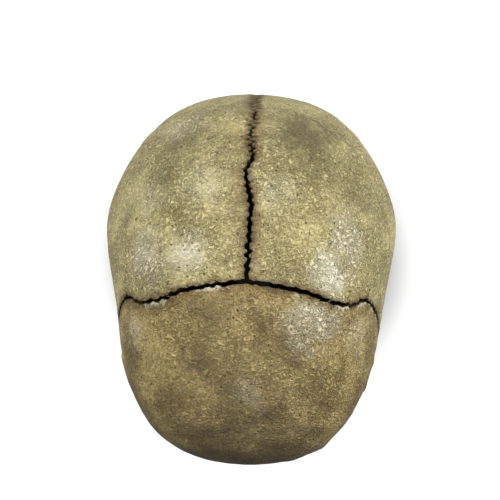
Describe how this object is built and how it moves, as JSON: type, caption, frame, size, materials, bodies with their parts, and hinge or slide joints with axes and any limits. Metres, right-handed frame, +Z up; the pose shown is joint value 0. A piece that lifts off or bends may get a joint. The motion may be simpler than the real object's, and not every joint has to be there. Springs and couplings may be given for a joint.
{
  "type": "human skull",
  "caption": "Adult human skull with its lower jaw, in separate bones and teeth, the jaw hinged on its condyles and the vault closed by toothed sutures.",
  "frame": {"origin": "middle of the underside's bounding box, on the surface that the skull rests on", "axes": "+Z up as it rests, -Y towards the face, +X towards the skull's left"},
  "size_m": [0.137, 0.2256, 0.1622],
  "materials": {
    "dry_bone": "dry aged bone, satin, finely pitted",
    "tooth_enamel": "worn enamel, smooth"
  },
  "bodies": {
    "head": {"ethmoid_bone": "dry_bone", "frontal_bone": "dry_bone", "left_inferior_nasal_concha": "dry_bone", "left_lacrimal_bone": "dry_bone", "left_maxilla": "dry_bone", "left_nasal_bone": "dry_bone", "left_palatine_bone": "dry_bone", "left_parietal_bone": "dry_bone", "left_temporal_bone": "dry_bone", "left_zygomatic_bone": "dry_bone", "occipital_bone": "dry_bone", "right_inferior_nasal_concha": "dry_bone", "right_lacrimal_bone": "dry_bone", "right_maxilla": "dry_bone", "right_nasal_bone": "dry_bone", "right_palatine_bone": "dry_bone", "right_parietal_bone": "dry_bone", "right_temporal_bone": "dry_bone", "right_zygomatic_bone": "dry_bone", "sphenoid_bone": "dry_bone", "upper_left_canine": "tooth_enamel", "upper_left_central_incisor": "tooth_enamel", "upper_left_first_molar": "tooth_enamel", "upper_left_first_premolar": "tooth_enamel", "upper_left_lateral_incisor": "tooth_enamel", "upper_left_second_molar": "tooth_enamel", "upper_left_second_premolar": "tooth_enamel", "upper_left_third_molar": "tooth_enamel", "upper_right_canine": "tooth_enamel", "upper_right_central_incisor": "tooth_enamel", "upper_right_first_molar": "tooth_enamel", "upper_right_first_premolar": "tooth_enamel", "upper_right_lateral_incisor": "tooth_enamel", "upper_right_second_molar": "tooth_enamel", "upper_right_second_premolar": "tooth_enamel", "upper_right_third_molar": "tooth_enamel", "vomer": "dry_bone"},
    "jaw": {"lower_left_canine": "tooth_enamel", "lower_left_central_incisor": "tooth_enamel", "lower_left_first_molar": "tooth_enamel", "lower_left_first_premolar": "tooth_enamel", "lower_left_lateral_incisor": "tooth_enamel", "lower_left_second_molar": "tooth_enamel", "lower_left_second_premolar": "tooth_enamel", "lower_left_third_molar": "tooth_enamel", "lower_right_canine": "tooth_enamel", "lower_right_central_incisor": "tooth_enamel", "lower_right_first_molar": "tooth_enamel", "lower_right_first_premolar": "tooth_enamel", "lower_right_lateral_incisor": "tooth_enamel", "lower_right_second_molar": "tooth_enamel", "lower_right_second_premolar": "tooth_enamel", "lower_right_third_molar": "tooth_enamel", "mandible": "dry_bone"}
  },
  "joints": [
    {"name": "jaw_hinge", "type": "hinge", "parent": "head", "child": "jaw", "pos_m": [0.00001, -0.00462, 0.04999], "axis": [1, 0, 0], "range_deg": [0, 25]}
  ]
}
